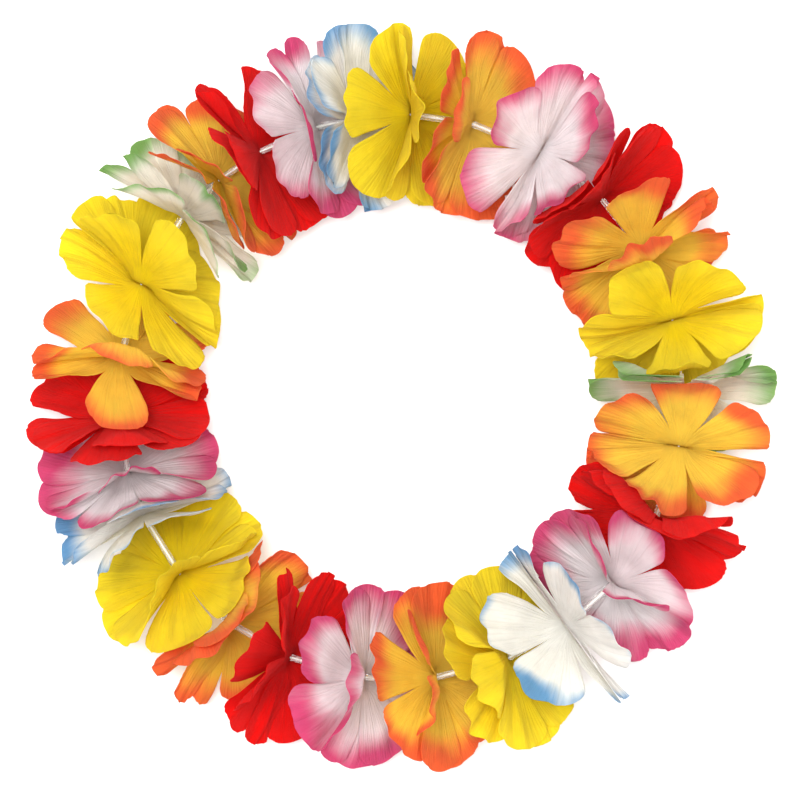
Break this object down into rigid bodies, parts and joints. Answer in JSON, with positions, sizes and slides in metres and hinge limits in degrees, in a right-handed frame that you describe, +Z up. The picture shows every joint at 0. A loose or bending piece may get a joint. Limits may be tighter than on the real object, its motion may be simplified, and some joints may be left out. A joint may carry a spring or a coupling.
{
  "type": "artificial fabric flower lei",
  "caption": "Closed garland of die-cut cloth blooms on a string, held apart by clear plastic tubes, lying flat with an open middle for the neck.",
  "frame": {"origin": "middle of the lei, on the surface it lies on", "axes": "+Z up, out of the surface; +Y towards the top of the ring as pictured; +X to its right"},
  "size_m": [0.3888, 0.3883, 0.0809],
  "materials": {
    "cloth_yellow": "light woven polyester, dyed bright yellow, with pressed veins",
    "cloth_orange": "light woven polyester, golden at the middle and orange at the petal tips",
    "cloth_red": "light woven polyester, dyed red",
    "cloth_pink": "light woven polyester, white with pink petal tips",
    "cloth_blue": "light woven polyester, white with pale blue petal edges",
    "cloth_green": "light woven polyester, white with light green petal tips",
    "clear_tube": "clear drinking-straw plastic",
    "thread": "white twisted polyester thread"
  },
  "bodies": {
    "root": {"bloom_01": "cloth_yellow", "bloom_02": "cloth_orange", "bloom_03": "cloth_pink", "bloom_04": "cloth_red", "bloom_05": "cloth_orange", "bloom_06": "cloth_yellow", "bloom_07": "cloth_green", "bloom_08": "cloth_orange", "bloom_09": "cloth_red", "bloom_10": "cloth_pink", "bloom_11": "cloth_blue", "bloom_12": "cloth_yellow", "bloom_13": "cloth_orange", "bloom_14": "cloth_pink", "bloom_15": "cloth_red", "bloom_16": "cloth_orange", "bloom_17": "cloth_yellow", "bloom_18": "cloth_blue", "bloom_19": "cloth_pink", "bloom_20": "cloth_red", "bloom_21": "cloth_orange", "bloom_22": "cloth_yellow", "bloom_23": "cloth_green", "bloom_24": "cloth_orange", "bloom_25": "cloth_red", "bloom_26": "cloth_pink", "bloom_27": "cloth_blue", "tube_01": "clear_tube", "tube_02": "clear_tube", "tube_03": "clear_tube", "tube_04": "clear_tube", "tube_05": "clear_tube", "tube_06": "clear_tube", "tube_07": "clear_tube", "tube_08": "clear_tube", "tube_09": "clear_tube", "tube_10": "clear_tube", "tube_11": "clear_tube", "tube_12": "clear_tube", "tube_13": "clear_tube", "tube_14": "clear_tube", "tube_15": "clear_tube", "tube_16": "clear_tube", "tube_17": "clear_tube", "tube_18": "clear_tube", "tube_19": "clear_tube", "tube_20": "clear_tube", "tube_21": "clear_tube", "tube_22": "clear_tube", "tube_23": "clear_tube", "tube_24": "clear_tube", "tube_25": "clear_tube", "tube_26": "clear_tube", "tube_27": "clear_tube", "string": "thread"}
  },
  "joints": []
}
